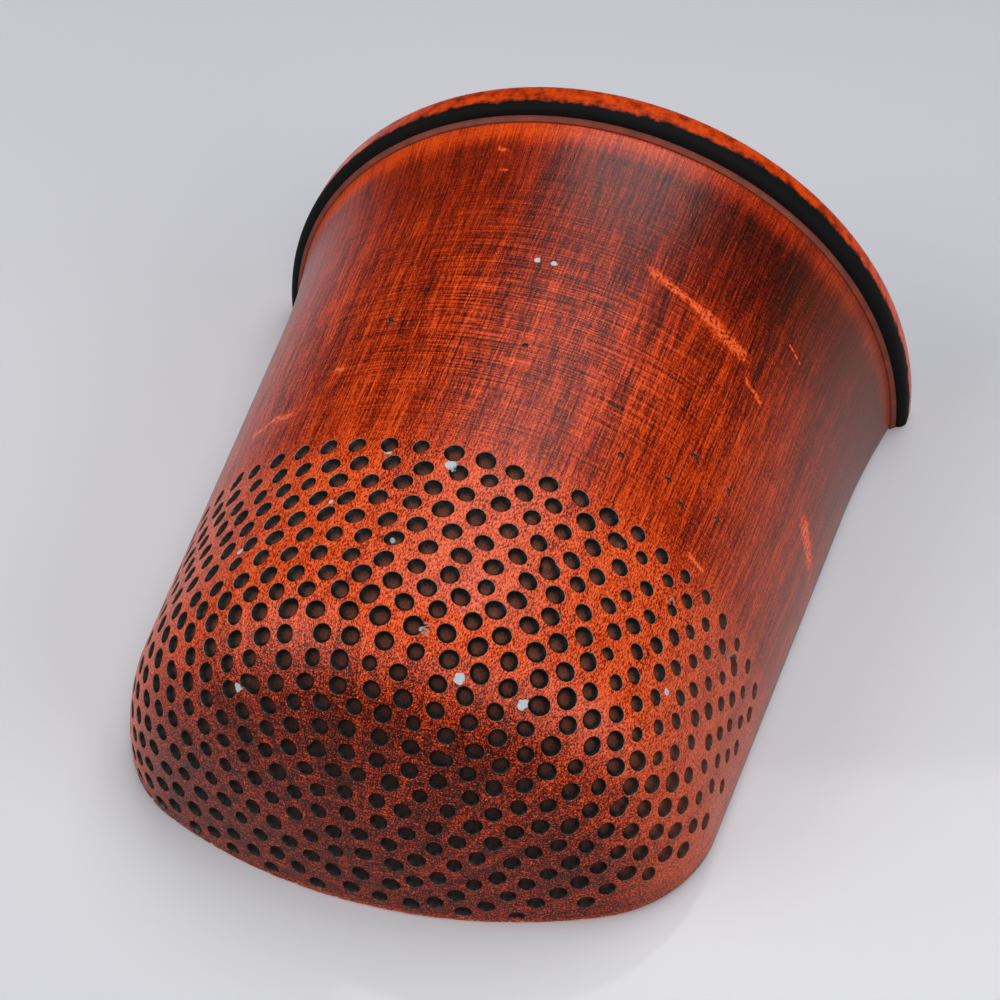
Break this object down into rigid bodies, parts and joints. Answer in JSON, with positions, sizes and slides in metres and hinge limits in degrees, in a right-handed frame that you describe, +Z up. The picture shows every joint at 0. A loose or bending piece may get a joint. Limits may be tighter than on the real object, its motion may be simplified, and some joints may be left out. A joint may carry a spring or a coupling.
{
  "type": "thimble",
  "caption": "Half-round sewing thimble with a flat back, a domed dimpled crown, a tapered wall and a raised lip; hollow, and lies on its flat back.",
  "frame": {"origin": "on the flat back, under the middle of the bounding box", "axes": "+Z up from the flat back, +Y towards the open mouth, -Y towards the crown, X across; the axis of the half-round form is the Y axis"},
  "size_m": [0.03, 0.0338, 0.015],
  "materials": {
    "rubbed_copper_paint": "orange-red copper paint rubbed back over black, satin clear coat",
    "rubbed_copper_lip": "polished copper paint on the outer edge, black underneath",
    "black_base_coat": "satin black base coat",
    "blackened_solder": "dull, blackened"
  },
  "bodies": {
    "root": {"shell": "rubbed_copper_paint", "rim_bead": "rubbed_copper_lip", "rim_solder": "blackened_solder", "back_plate": "black_base_coat", "back_solder": "blackened_solder"}
  },
  "joints": []
}
